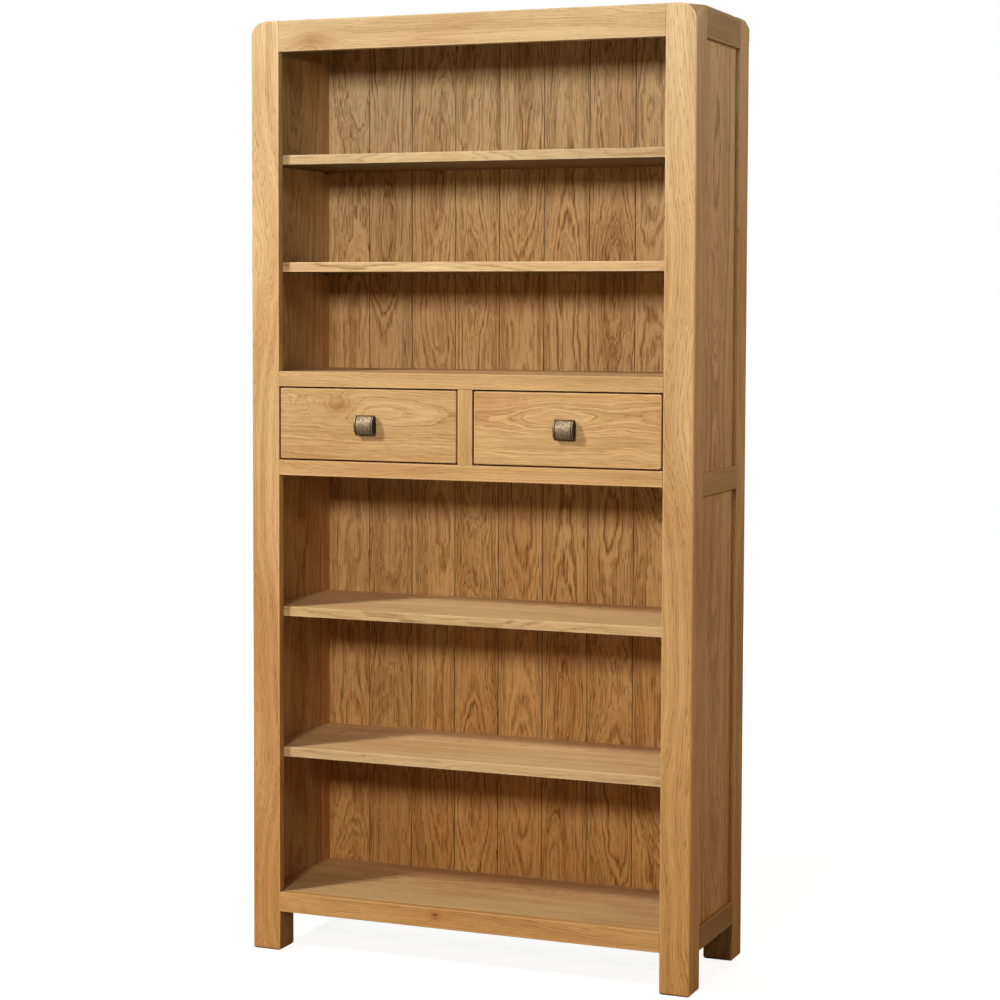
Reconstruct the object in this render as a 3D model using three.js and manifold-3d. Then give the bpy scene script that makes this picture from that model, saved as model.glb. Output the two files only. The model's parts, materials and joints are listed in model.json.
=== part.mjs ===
// Oak bookcase: frame and panel sides, a tongued and grooved back, four shelves on pins
// and a row of two dovetailed drawers between the upper and the lower shelves.
// Millimetres, +Z up, +X to the viewer's right, the front faces -Y.
import * as THREE from 'three';
import { mergeVertices } from 'three/addons/utils/BufferGeometryUtils.js';
import Module from 'manifold-3d';

const wasm = await Module();
wasm.setup();

// Overall size of the case
const caseWidth = 945;
const caseDepth = 345;
const caseHeight = 1900;
const topCornerRadius = 40;

// Posts: a face flange in front, a side flange behind it, and a solid foot
const postWidth = 62;
const postDepth = 61;
const faceThickness = 19;
const sideThickness = 18;
const rearFlangeThickness = 14;
const footEase = 7;
const edgeEase = 5;
const boardEase = 1.2;

// Heights of the front, from the floor up
const footHeight = 82.5;
const bottomRailHeight = 41;
const drawerRowOpening = 149.5;
const lowerRailHeight = 31;
const upperRailHeight = 30.5;
const topRailHeight = 62;
const lowerBayShare = 0.572;

// Side frames
const sideTopRailHeight = 60;
const sideMiddleRailHeight = 44;
const sideBottomRailHeight = 45;
const sideMiddleRailDrop = 6;
const panelRecess = 9.5;
const panelInnerStep = 0.5;
const panelTongueThickness = 4;
const panelTongueDepth = 8;
const panelTongueClearance = 1;
const panelReveal = 0.6;
const sideTenonCover = 2.5;

// Boards, shelves and back
const boardThickness = 20;
const boardTongueDepth = 5;
const boardTongueThickness = 6;
const shelfThickness = 19.5;
const shelfEndClearance = 1;
const shelfFrontClearance = 0.6;
const upperShelfShares = [0.313, 0.6492];
const lowerShelfShares = [0.3237, 0.6617];
const backBoardThickness = 12;
const backBoardCount = 9;
const backBoardPitch = 100;
const backBoardOffset = 8;
const backTongueDepth = 6;
const backTongueThickness = 4;
const backChamfer = 1.3;
const rearTopRailHeight = 62;
const rearBottomRailHeight = 45;

// Shelf pins and their holes
const pinRadius = 2.5;
const pinReach = 9;
const pinHoleDepth = 9;
const pinHolePitch = 40;
const pinHolesEachWay = 1;
const pinFromFlange = 24;
const pinFromRearPostFront = 14;

// Joints of the front frame
const railTenonLength = 12;
const railTenonCheek = 5.5;
const railTenonToTongue = 0.5;
const railTenonShoulder = 7;
const rearTenonCheek = 4;
const mullionWidth = 31;
const mullionTenonLength = 10;

// Drawers
const drawerGap = 3;
const drawerSetback = 0.8;
const drawerFrontThickness = 18;
const drawerFrontEase = 2.5;
const drawerCornerRadius = 4.5;
const drawerSideThickness = 12;
const drawerBackThickness = 12;
const drawerBottomThickness = 6;
const drawerBottomRise = 6;
const drawerGrooveDepth = 6;
const drawerSideDrop = 3;
const drawerRearClearance = 2;
const dovetailDepth = 11;
const dovetailCount = 3;
const dovetailFlare = 1.7;
const dovetailNeckShare = 0.56;

// Guides and stops that hold the drawers on their way
const guideHeight = 34;
const guideClearance = 0.8;
const stopWidth = 60;
const stopDepth = 49.7;
const stopCatch = 4.3;

// Knobs and their screws
const knobWidth = 41;
const knobHeight = 41;
const knobEdgeReach = 10;
const knobBulge = 11;
const knobBackReach = 3;
const knobBackInset = 3.5;
const knobRimWidth = 2.6;
const knobGrooveWidth = 1.8;
const knobGrooveDepth = 1.1;
const knobBodyInset = 0.5;
const knobNeckRadius = 9;
const knobNeckSink = 4;
const screwRadius = 2;
const screwHeadRadius = 4.5;
const screwHeadThickness = 2.4;
const screwBite = 8;
const screwHoleClearance = 0.4;

// Clearances and modelling allowances
const jointGap = 0.3;
const slideGap = 0.4;
const overrun = 5;
const mergeTolerance = 0.0001;
const easeSteps = 3;
const cornerSteps = 10;
const pillowSteps = 3;
const pillowCornerSteps = 5;
const knobSteps = 14;
const roundSteps = 28;
const pinSteps = 12;

// Levels and places that follow from the sizes
const halfWidth = caseWidth / 2;
const floorTop = footHeight + bottomRailHeight;
const topRailBottom = caseHeight - topRailHeight;
const drawerRowHeight = lowerRailHeight + drawerRowOpening + upperRailHeight;
const lowerRailBottom = floorTop + (topRailBottom - floorTop - drawerRowHeight) * lowerBayShare;
const lowerRailTop = lowerRailBottom + lowerRailHeight;
const upperRailBottom = lowerRailTop + drawerRowOpening;
const upperRailTop = upperRailBottom + upperRailHeight;
const footTop = floorTop - boardThickness - jointGap;
const openingHalf = halfWidth - postWidth;
const wallHalf = halfWidth - sideThickness;
const frontPostRear = postDepth;
const rearPostFront = caseDepth - postDepth;
const rearFlangeFront = caseDepth - rearFlangeThickness;
const backRear = rearFlangeFront - jointGap;
const backFront = backRear - backBoardThickness;
const boardFront = faceThickness + jointGap;
const boardRear = backFront - jointGap;
const boardHalf = wallHalf - jointGap;
const sideMiddleRailTop = lowerRailTop - sideMiddleRailDrop;
const sideMiddleRailBottom = sideMiddleRailTop - sideMiddleRailHeight;
const sideBottomRailBottom = floorTop - sideBottomRailHeight;
const sideTopRailBottom = caseHeight - sideTopRailHeight;
const frontPinPlace = faceThickness + pinFromFlange;
const rearPinPlace = rearPostFront + pinFromRearPostFront;
const knobReach = knobEdgeReach + knobBulge;
const knobFront = drawerSetback - knobReach;
const panelThickness = sideThickness - panelRecess - panelInnerStep;
const topCornerDrop = topCornerRadius * (1 - Math.sqrt(panelRecess / topCornerRadius)) ** 2;
const sideTenonShoulder = topCornerDrop + sideTenonCover;
const panelGrooveDepth = panelTongueDepth + panelTongueClearance;
const frontTenon = [railTenonCheek, faceThickness - boardTongueDepth - railTenonToTongue];
const rearTenon = [rearFlangeFront + rearTenonCheek, caseDepth - rearTenonCheek];

const axisX = new THREE.Vector3(1, 0, 0);
const axisY = new THREE.Vector3(0, 1, 0);
const axisZ = new THREE.Vector3(0, 0, 1);

// Materials, one for each kind of surface
function oak(name, color) {
  return new THREE.MeshStandardMaterial({ name, color, roughness: 0.55, metalness: 0 });
}

function metal(name, color, roughness) {
  return new THREE.MeshStandardMaterial({ name, color, roughness, metalness: 1 });
}

const frameOak = oak('frame_oak', 0xd8b27a);
const panelOak = oak('panel_oak', 0xc49c68);
const boardOak = oak('board_oak', 0xd0a870);
const backOak = oak('back_oak', 0xa8804f);
const drawerOak = oak('drawer_oak', 0xd4aa6c);
const boxOak = oak('box_oak', 0xcaa778);
const agedPewter = metal('aged_pewter', 0x8f836c, 0.4);
const screwSteel = metal('screw_steel', 0xb4b2ac, 0.35);

// Solids: a closed geometry with shared corners becomes a body that can be joined and cut
function solidOf(geometry) {
  geometry.deleteAttribute('normal');
  geometry.deleteAttribute('uv');
  const merged = mergeVertices(geometry, mergeTolerance);
  const mesh = new wasm.Mesh({
    numProp: 3,
    vertProperties: new Float32Array(merged.attributes.position.array),
    triVerts: new Uint32Array(merged.index.array),
  });
  return new wasm.Manifold(mesh);
}

function joined(solids) {
  return solids.reduce((whole, next) => whole.add(next));
}

function cutBy(solid, cutters) {
  return cutters.reduce((rest, cutter) => rest.subtract(cutter), solid);
}

// Outline through the given corners, each corner rounded by its own radius
function easedOutline(corners, radii) {
  const shape = new THREE.Shape();
  const count = corners.length;
  corners.forEach((corner, i) => {
    const radius = Array.isArray(radii) ? radii[i] : radii;
    const before = corners[(i + count - 1) % count];
    const after = corners[(i + 1) % count];
    const start = corner.clone().add(before.clone().sub(corner).setLength(radius));
    const end = corner.clone().add(after.clone().sub(corner).setLength(radius));
    if (i === 0) {
      shape.moveTo(start.x, start.y);
    } else {
      shape.lineTo(start.x, start.y);
    }
    if (radius > 0) {
      shape.quadraticCurveTo(corner.x, corner.y, end.x, end.y);
    }
  });
  shape.closePath();
  return shape;
}

function corners(points) {
  return points.map(([x, y]) => new THREE.Vector2(x, y));
}

function rectangle([x0, x1], [y0, y1], radius) {
  return easedOutline(corners([[x0, y0], [x1, y0], [x1, y1], [x0, y1]]), radius);
}

// Placement that lays an extrusion along an axis, its outline drawn in the order X, Y, Z
function placement(along, [from, to]) {
  const place = new THREE.Matrix4();
  if (along === 'x') {
    return place.makeBasis(axisY, axisZ, axisX).setPosition(from, 0, 0);
  }
  if (along === 'y') {
    return place.makeBasis(axisX, axisZ, axisY.clone().negate()).setPosition(0, to, 0);
  }
  return place.setPosition(0, 0, from);
}

// Prism of an outline that lies across the given axis
function prism(outline, along, [from, to], steps = easeSteps) {
  const geometry = new THREE.ExtrudeGeometry(outline, {
    depth: to - from,
    bevelEnabled: false,
    curveSegments: steps,
  });
  return solidOf(geometry.applyMatrix4(placement(along, [from, to])));
}

// Planed bar that fills the given spans, its long edges eased
function bar({ x, y, z }, along = 'z', ease = 0) {
  const across = { x: [y, z], y: [x, z], z: [x, y] }[along];
  return prism(rectangle(across[0], across[1], ease), along, { x, y, z }[along]);
}

function rod(centre, radius, along, [from, to], steps) {
  const outline = new THREE.Shape();
  outline.absarc(centre[0], centre[1], radius, 0, Math.PI * 2);
  return prism(outline, along, [from, to], steps / 2);
}

function grown([from, to], amount) {
  return [from - amount, to + amount];
}

// Span in X between two distances from the outer side face, on the left (-1) or right (+1)
function fromSide(side, near, far) {
  const ends = [side * (halfWidth - near), side * (halfWidth - far)];
  return [Math.min(...ends), Math.max(...ends)];
}

function piece(name, solid, material) {
  const mesh = solid.getMesh();
  const geometry = new THREE.BufferGeometry();
  geometry.setAttribute('position', new THREE.BufferAttribute(mesh.vertProperties, 3));
  geometry.setIndex(new THREE.BufferAttribute(mesh.triVerts, 1));
  geometry.computeVertexNormals();
  const result = new THREE.Mesh(geometry, material);
  result.name = name;
  return result;
}

// Body that everything at the top stays within: the two upper corners are rounded
function caseEnvelope() {
  const outline = easedOutline(
    corners([
      [-halfWidth, -overrun],
      [halfWidth, -overrun],
      [halfWidth, caseHeight],
      [-halfWidth, caseHeight],
    ]),
    [0, 0, topCornerRadius, topCornerRadius],
  );
  return prism(outline, 'y', [-overrun, caseDepth + overrun], cornerSteps);
}

const envelope = caseEnvelope();

// Shelf levels, the height of each shelf's lower face
function levels(bottom, top, shares) {
  return shares.map((share) => bottom + (top - bottom) * share);
}

const shelfLevels = [
  ...levels(upperRailTop, topRailBottom, upperShelfShares).reverse(),
  ...levels(floorTop, lowerRailBottom, lowerShelfShares).reverse(),
];

// Groove for the side panels and the stub tenons of the side rails
function sideGroove(side, y) {
  const near = panelRecess - jointGap;
  const far = panelRecess + panelTongueThickness + jointGap;
  const bottom = sideBottomRailBottom + sideTenonShoulder - jointGap;
  const top = caseHeight - sideTenonShoulder + jointGap;
  return bar({ x: fromSide(side, near, far), y, z: [bottom, top] });
}

// Row of pin holes about each shelf level, open to the inside of the case
function pinHoles(side, y) {
  const offsets = [];
  for (let step = -pinHolesEachWay; step <= pinHolesEachWay; step += 1) {
    offsets.push(step * pinHolePitch);
  }
  const free = offsets.filter((offset) => offset !== 0);
  const x = fromSide(side, sideThickness - pinHoleDepth, sideThickness + overrun);
  return shelfLevels.flatMap((level) =>
    free.map((offset) => rod([y, level - pinRadius + offset], pinRadius, 'x', x, pinSteps)),
  );
}

// Shelf pins stand in their holes and reach under the shelves
function pins(side, y) {
  const x = fromSide(side, sideThickness - pinHoleDepth, sideThickness + pinReach);
  return shelfLevels.map((level) => rod([y, level - pinRadius - jointGap], pinRadius, 'x', x, pinSteps));
}

// Block whose two ends are rounded over all round, between two places along an axis
function pillow(outline, along, [from, to], ease) {
  const geometry = new THREE.ExtrudeGeometry(outline, {
    depth: to - from - ease - ease,
    bevelEnabled: true,
    bevelThickness: ease,
    bevelSize: ease,
    bevelOffset: -ease,
    bevelSegments: pillowSteps,
    curveSegments: pillowCornerSteps,
  });
  geometry.translate(0, 0, ease);
  return solidOf(geometry.applyMatrix4(placement(along, [from, to])));
}

// Solid foot with its lower edges rounded, its outer corner eased as the post above it
function foot(side, outer, inner) {
  const half = (distance) => side * (halfWidth - distance);
  const section = easedOutline(
    corners([
      [half(0), outer],
      [half(postWidth), outer],
      [half(postWidth), inner],
      [half(0), inner],
    ]),
    [edgeEase, boardEase, boardEase, boardEase],
  );
  const x = fromSide(side, 0, postWidth);
  const y = [Math.min(outer, inner), Math.max(outer, inner)];
  const block = prism(section, 'z', [0, footTop]);
  return block.intersect(pillow(rectangle(x, y, 0), 'z', [0, footTop + footEase], footEase));
}

// Mortise in the inner edge of a post for the tenon of a rail
function railMortise(side, [bottom, top], tenonDepth) {
  const z = [bottom + railTenonShoulder - jointGap, top - railTenonShoulder + jointGap];
  const x = fromSide(side, postWidth - railTenonLength - jointGap, postWidth + overrun);
  return bar({ x, y: grown(tenonDepth, jointGap), z });
}

const frontRails = {
  rail_front_top: [topRailBottom, caseHeight],
  rail_front_upper: [upperRailBottom, upperRailTop],
  rail_front_lower: [lowerRailBottom, lowerRailTop],
  rail_front_bottom: [footHeight, floorTop],
};

const rearRails = {
  rail_rear_top: [caseHeight - rearTopRailHeight, caseHeight],
  rail_rear_bottom: [floorTop - rearBottomRailHeight, floorTop],
};

function frontPost(side) {
  const half = (distance) => side * (halfWidth - distance);
  const section = easedOutline(
    corners([
      [half(0), 0],
      [half(postWidth), 0],
      [half(postWidth), faceThickness],
      [half(sideThickness), faceThickness],
      [half(sideThickness), frontPostRear],
      [half(0), frontPostRear],
    ]),
    [edgeEase, boardEase, boardEase, 0, boardEase, boardEase],
  );
  const flanges = prism(section, 'z', [footTop / 2, caseHeight]).intersect(envelope);
  const body = joined([flanges, foot(side, 0, frontPostRear), ...pins(side, frontPinPlace)]);
  return cutBy(body, [
    sideGroove(side, [frontPostRear - panelGrooveDepth, frontPostRear + overrun]),
    ...Object.values(frontRails).map((span) => railMortise(side, span, frontTenon)),
    ...pinHoles(side, frontPinPlace),
  ]);
}

function rearPost(side) {
  const half = (distance) => side * (halfWidth - distance);
  const section = easedOutline(
    corners([
      [half(0), caseDepth],
      [half(postWidth), caseDepth],
      [half(postWidth), rearFlangeFront],
      [half(sideThickness), rearFlangeFront],
      [half(sideThickness), rearPostFront],
      [half(0), rearPostFront],
    ]),
    [edgeEase, boardEase, 0, 0, boardEase, boardEase],
  );
  const flanges = prism(section, 'z', [footTop / 2, caseHeight]).intersect(envelope);
  const body = joined([flanges, foot(side, caseDepth, rearPostFront), ...pins(side, rearPinPlace)]);
  return cutBy(body, [
    sideGroove(side, [rearPostFront - overrun, rearPostFront + panelGrooveDepth]),
    ...Object.values(rearRails).map((span) => railMortise(side, span, rearTenon)),
    ...pinHoles(side, rearPinPlace),
  ]);
}

// Groove in the back of a front rail for the tongue of the board behind it
function boardGroove(boardTop) {
  const middle = boardTop - boardThickness / 2;
  const half = boardTongueThickness / 2 + jointGap;
  const y = [faceThickness - boardTongueDepth - jointGap, faceThickness + overrun];
  return bar({ x: [-openingHalf - overrun, openingHalf + overrun], y, z: [middle - half, middle + half] });
}

function mullionMortise(z) {
  const half = mullionWidth / 2 - railTenonShoulder + jointGap;
  return bar({ x: [-half, half], y: grown(frontTenon, jointGap), z });
}

// Rail between two posts, with a stub tenon at each end
function rail([bottom, top], depth, tenonDepth) {
  const reach = openingHalf - jointGap;
  const body = bar({ x: [-reach, reach], y: depth, z: [bottom, top] }, 'x', boardEase);
  const tenon = bar({
    x: grown([-openingHalf, openingHalf], railTenonLength),
    y: tenonDepth,
    z: [bottom + railTenonShoulder, top - railTenonShoulder],
  });
  return body.add(tenon);
}

function mullion() {
  const half = mullionWidth / 2;
  const body = bar({
    x: [-half, half],
    y: [0, faceThickness],
    z: [lowerRailTop + jointGap, upperRailBottom - jointGap],
  }, 'z', boardEase);
  const tenon = bar({
    x: grown([-half, half], -railTenonShoulder),
    y: frontTenon,
    z: grown([lowerRailTop, upperRailBottom], mullionTenonLength),
  });
  return body.add(tenon);
}

// Side rail with stub tenons, grooved along the edges that hold a panel
function sideRail(side, [bottom, top], grooves) {
  const y = [frontPostRear + jointGap, rearPostFront - jointGap];
  const rail = bar({ x: fromSide(side, 0, sideThickness), y, z: [bottom, top] }, 'y', boardEase);
  const lowerCut = grooves.includes('below') ? panelGrooveDepth + jointGap : sideTenonShoulder;
  const upperCut = grooves.includes('above') ? panelGrooveDepth + jointGap : sideTenonShoulder;
  const tenon = bar({
    x: fromSide(side, panelRecess, panelRecess + panelTongueThickness),
    y: grown([frontPostRear, rearPostFront], panelTongueDepth),
    z: [bottom + lowerCut, top - upperCut],
  });
  const near = panelRecess - jointGap;
  const far = panelRecess + panelTongueThickness + jointGap;
  const grooveSpan = (z) => bar({ x: fromSide(side, near, far), y: grown(y, overrun), z });
  const cutters = [];
  if (grooves.includes('below')) {
    cutters.push(grooveSpan([bottom - overrun, bottom + panelGrooveDepth]));
  }
  if (grooves.includes('above')) {
    cutters.push(grooveSpan([top - panelGrooveDepth, top + overrun]));
  }
  return cutBy(rail.add(tenon), cutters).intersect(envelope);
}

// Panel with a tongue on all four edges and a thicker field towards the inside
function sidePanel(side, [bottom, top]) {
  const field = bar({
    x: fromSide(side, panelRecess, panelRecess + panelThickness),
    y: grown([frontPostRear, rearPostFront], -panelReveal),
    z: grown([bottom, top], -panelReveal),
  });
  const tongue = bar({
    x: fromSide(side, panelRecess, panelRecess + panelTongueThickness),
    y: grown([frontPostRear, rearPostFront], panelTongueDepth),
    z: grown([bottom, top], panelTongueDepth),
  });
  return field.add(tongue);
}

// Board across the case, its front edge tongued into the rail before it
function caseBoard(top, rear) {
  const bottom = top - boardThickness;
  const board = bar({ x: [-boardHalf, boardHalf], y: [boardFront, rear], z: [bottom, top] });
  const middle = (bottom + top) / 2;
  const tongue = bar({
    x: [-openingHalf + jointGap, openingHalf - jointGap],
    y: [faceThickness - boardTongueDepth, boardFront + jointGap],
    z: [middle - boardTongueThickness / 2, middle + boardTongueThickness / 2],
  });
  return board.add(tongue);
}

function shelf(level) {
  const half = wallHalf - shelfEndClearance;
  return bar({
    x: [-half, half],
    y: [faceThickness + shelfFrontClearance, boardRear],
    z: [level, level + shelfThickness],
  }, 'x', boardEase);
}

// Back boards: a tongue on the right edge, a groove on the left, and chamfers that meet in a V
function backBoard(index) {
  const first = index === 0;
  const last = index === backBoardCount - 1;
  const joint = (k) => (k - backBoardCount / 2) * backBoardPitch - backBoardOffset;
  const left = first ? -boardHalf : joint(index) + jointGap / 2;
  const right = last ? boardHalf : joint(index + 1) - jointGap / 2;
  const leftChamfer = first ? 0 : backChamfer;
  const rightChamfer = last ? 0 : backChamfer;
  const outline = easedOutline(corners([
    [left, backRear],
    [left, backFront + leftChamfer],
    [left + leftChamfer, backFront],
    [right - rightChamfer, backFront],
    [right, backFront + rightChamfer],
    [right, backRear],
  ]).filter((corner, i, all) => corner.distanceTo(all[(i + 1) % all.length]) > mergeTolerance), 0);
  const z = [footTop + jointGap, caseHeight - boardThickness - jointGap];
  const body = prism(outline, 'z', z);
  const middle = (backFront + backChamfer + backRear) / 2;
  const tongueHalf = backTongueThickness / 2;
  const tongue = bar({
    x: [right - backTongueDepth, right + backTongueDepth],
    y: [middle - tongueHalf, middle + tongueHalf],
    z,
  });
  const groove = bar({
    x: [left - overrun, left + backTongueDepth + jointGap],
    y: grown([middle - tongueHalf, middle + tongueHalf], jointGap),
    z: grown(z, overrun),
  });
  const withTongue = last ? body : body.add(tongue);
  return first ? withTongue : withTongue.subtract(groove);
}

// Drawers: levels and places shared by their pieces
const drawerFrontBottom = lowerRailTop + drawerGap;
const drawerFrontTop = upperRailBottom - drawerGap;
const drawerFrontRear = drawerSetback + drawerFrontThickness;
const drawerSideBottom = lowerRailTop + slideGap;
const drawerSideTop = drawerFrontTop - drawerSideDrop;
const drawerRear = boardRear - drawerRearClearance;
const drawerBackFront = drawerRear - drawerBackThickness;
const drawerGrooveBottom = drawerSideBottom + drawerBottomRise;
const drawerGrooveTop = drawerGrooveBottom + drawerBottomThickness + jointGap + jointGap;
const drawerBackBottom = drawerGrooveTop;
const drawerOuter = openingHalf - drawerGap;
const drawerInner = mullionWidth / 2 + drawerGap;
const drawerMiddle = (drawerOuter + drawerInner) / 2;
const drawerMiddleHeight = (drawerFrontBottom + drawerFrontTop) / 2;

function drawerSpan(side, from, to) {
  const ends = [side * from, side * to];
  return [Math.min(...ends), Math.max(...ends)];
}

// Outlines of the dovetails along one end of a drawer side, in Y and Z.
// The tails widen from the shoulder to the tip; grow widens them for the sockets.
function dovetails([bottom, top], shoulder, tip, run, grow) {
  const direction = Math.sign(tip - shoulder);
  const pitch = (top - bottom) / dovetailCount;
  const neck = (pitch * dovetailNeckShare) / 2 + grow;
  const end = neck + dovetailFlare;
  return Array.from({ length: dovetailCount }, (_, i) => {
    const middle = bottom + pitch * (i + 0.5);
    return easedOutline(corners([
      [shoulder - direction * run, middle - neck],
      [shoulder, middle - neck],
      [tip, middle - end],
      [tip + direction * grow, middle - end],
      [tip + direction * grow, middle + end],
      [tip, middle + end],
      [shoulder, middle + neck],
      [shoulder - direction * run, middle + neck],
    ]).filter((corner, j, all) => corner.distanceTo(all[(j + 1) % all.length]) > mergeTolerance), 0);
  });
}

const frontTailTip = drawerFrontRear - dovetailDepth;
const frontTailRange = [drawerFrontBottom, drawerSideTop];
const rearTailRange = [drawerBackBottom, drawerSideTop];
const bottomSlot = [drawerGrooveBottom, drawerGrooveTop];

// Tails or sockets as solids across the thickness of a drawer side
function frontTails(x, grow) {
  return dovetails(frontTailRange, drawerFrontRear, frontTailTip, overrun, grow)
    .map((outline) => prism(outline, 'x', x));
}

function rearTails(x, grow) {
  return dovetails(rearTailRange, drawerBackFront, drawerRear, overrun, grow)
    .map((outline) => prism(outline, 'x', x));
}

// Drawer front: rounded over in front, with sockets and the groove for the bottom behind
function drawerFront(side) {
  const x = drawerSpan(side, drawerInner, drawerOuter);
  const z = [drawerFrontBottom, drawerFrontTop];
  const y = [drawerSetback, drawerFrontRear + drawerFrontEase];
  const rounded = pillow(rectangle(x, z, drawerCornerRadius), 'y', y, drawerFrontEase);
  const socketReach = drawerSideThickness + jointGap;
  const groove = bar({
    x: grown(x, drawerGrooveDepth - drawerSideThickness),
    y: [drawerFrontRear - drawerGrooveDepth, drawerFrontRear + overrun],
    z: bottomSlot,
  });
  const screwHole = screwRadius + screwHoleClearance;
  return cutBy(rounded, [
    bar({ x: grown(x, overrun), y: [drawerFrontRear, drawerFrontRear + overrun], z: grown(z, overrun) }),
    ...frontTails([x[0] - overrun, x[0] + socketReach], jointGap),
    ...frontTails([x[1] - socketReach, x[1] + overrun], jointGap),
    groove,
    rod([side * drawerMiddle, drawerMiddleHeight], screwHole, 'y', grown(y, overrun), pinSteps),
  ]);
}

// Drawer side: tails at both ends, and a groove for the bottom on its inner face
function drawerSide(side, outer) {
  const x = drawerSideSpan(side, outer);
  const body = bar({
    x,
    y: [drawerFrontRear + jointGap, drawerBackFront - jointGap],
    z: [drawerSideBottom, drawerSideTop],
  });
  const heel = bar({
    x,
    y: [drawerBackFront - overrun, drawerRear],
    z: [drawerSideBottom, drawerBackBottom - jointGap],
  });
  const innerFace = outer ? drawerOuter - drawerSideThickness : drawerInner + drawerSideThickness;
  const grooveFloor = outer ? innerFace + drawerGrooveDepth : innerFace - drawerGrooveDepth;
  const grooveMouth = outer ? innerFace - overrun : innerFace + overrun;
  const groove = bar({
    x: drawerSpan(side, grooveFloor, grooveMouth),
    y: [frontTailTip - overrun, drawerRear + overrun],
    z: bottomSlot,
  });
  return joined([body, heel, ...frontTails(x, 0), ...rearTails(x, 0)]).subtract(groove);
}

function drawerSideSpan(side, outer) {
  return outer
    ? drawerSpan(side, drawerOuter - drawerSideThickness, drawerOuter)
    : drawerSpan(side, drawerInner, drawerInner + drawerSideThickness);
}

// Drawer back: sockets right through at both ends, over the bottom that runs beneath it
function drawerBack(side) {
  const x = drawerSpan(side, drawerInner, drawerOuter);
  const board = bar({ x, y: [drawerBackFront, drawerRear], z: [drawerBackBottom, drawerSideTop] });
  const reach = drawerSideThickness + jointGap;
  return cutBy(board, [
    ...rearTails([x[0] - overrun, x[0] + reach], jointGap),
    ...rearTails([x[1] - reach, x[1] + overrun], jointGap),
  ]);
}

function drawerBottom(side) {
  const inset = drawerSideThickness - drawerGrooveDepth + jointGap;
  const bottom = drawerGrooveBottom + jointGap;
  return bar({
    x: drawerSpan(side, drawerInner + inset, drawerOuter - inset),
    y: [drawerFrontRear - drawerGrooveDepth + jointGap, drawerRear],
    z: [bottom, bottom + drawerBottomThickness],
  });
}

// Section of the knob in Y and Z: an arc in front and sides that draw in towards the back
function knobSection(inset) {
  const half = knobHeight / 2 - inset;
  const edge = drawerSetback - knobEdgeReach + inset;
  const back = drawerSetback - knobBackReach;
  const radius = (half * half + knobBulge * knobBulge) / (knobBulge + knobBulge);
  const centre = edge - knobBulge + radius;
  const angle = Math.asin(half / radius);
  const outline = new THREE.Shape();
  outline.moveTo(back, drawerMiddleHeight + half - knobBackInset);
  outline.lineTo(edge, drawerMiddleHeight + half);
  outline.absarc(centre, drawerMiddleHeight, radius, Math.PI - angle, Math.PI + angle);
  outline.lineTo(back, drawerMiddleHeight - half + knobBackInset);
  outline.closePath();
  return outline;
}

// Knob: a barrel between two grooves and two rims, on a short round neck
function knob(side) {
  const middle = side * drawerMiddle;
  const ends = grown([middle, middle], knobWidth / 2);
  const barrelEnds = grown(ends, -knobRimWidth - knobGrooveWidth);
  const centre = [middle, drawerMiddleHeight];
  const neckFront = drawerSetback - knobBackReach - knobNeckSink;
  const boreFront = drawerSetback - screwBite - jointGap;
  return joined([
    prism(knobSection(0), 'x', [ends[0], ends[0] + knobRimWidth], knobSteps),
    prism(knobSection(0), 'x', [ends[1] - knobRimWidth, ends[1]], knobSteps),
    prism(knobSection(knobGrooveDepth), 'x', grown(ends, -knobRimWidth / 2), knobSteps),
    prism(knobSection(knobBodyInset), 'x', barrelEnds, knobSteps),
    rod(centre, knobNeckRadius, 'y', [neckFront, drawerSetback - jointGap], roundSteps),
  ]).subtract(rod(centre, screwRadius + jointGap, 'y', [boreFront, drawerSetback + overrun], pinSteps));
}

// Screw that holds the knob from inside the drawer
function knobScrew(side) {
  const centre = [side * drawerMiddle, drawerMiddleHeight];
  const seat = drawerFrontRear + jointGap;
  const shankSpan = [drawerSetback - screwBite, seat + screwHeadThickness / 2];
  const shank = rod(centre, screwRadius, 'y', shankSpan, pinSteps);
  const head = rod(centre, screwHeadRadius, 'y', [seat, seat + screwHeadThickness], roundSteps);
  return shank.add(head);
}

// Guides that keep the drawers straight: one against each wall and one between the drawers
function guide([x0, x1]) {
  const z = [lowerRailTop + jointGap, lowerRailTop + guideHeight];
  return bar({ x: [x0, x1], y: [boardFront, boardRear], z }, 'y', boardEase);
}

function wallGuide(side) {
  return guide(drawerSpan(side, drawerOuter + guideClearance, boardHalf));
}

// Stop block under the board above the drawers; the drawer's back meets it when fully out
function drawerStop(side) {
  return bar({
    x: drawerSpan(side, drawerMiddle - stopWidth / 2, drawerMiddle + stopWidth / 2),
    y: [boardFront, boardFront + stopDepth],
    z: [drawerSideTop - stopCatch, upperRailTop - boardThickness - jointGap],
  }, 'y', boardEase);
}

// The whole bookcase, its origin on the floor at the middle of its outer box
const bookcase = new THREE.Group();
bookcase.position.y = -(caseDepth + knobFront) / 2;

const sides = { left: -1, right: 1 };

function place(name, solid, material) {
  bookcase.add(piece(name, solid, material));
}

Object.entries(sides).forEach(([hand, side]) => {
  place(`post_front_${hand}`, frontPost(side), frameOak);
  place(`post_rear_${hand}`, rearPost(side), frameOak);
  const rails = {
    top: sideRail(side, [sideTopRailBottom, caseHeight], ['below']),
    middle: sideRail(side, [sideMiddleRailBottom, sideMiddleRailTop], ['below', 'above']),
    bottom: sideRail(side, [sideBottomRailBottom, floorTop], ['above']),
  };
  Object.entries(rails).forEach(([level, solid]) => place(`rail_side_${level}_${hand}`, solid, frameOak));
  place(`panel_side_upper_${hand}`, sidePanel(side, [sideMiddleRailTop, sideTopRailBottom]), panelOak);
  place(`panel_side_lower_${hand}`, sidePanel(side, [floorTop, sideMiddleRailBottom]), panelOak);
});

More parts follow.
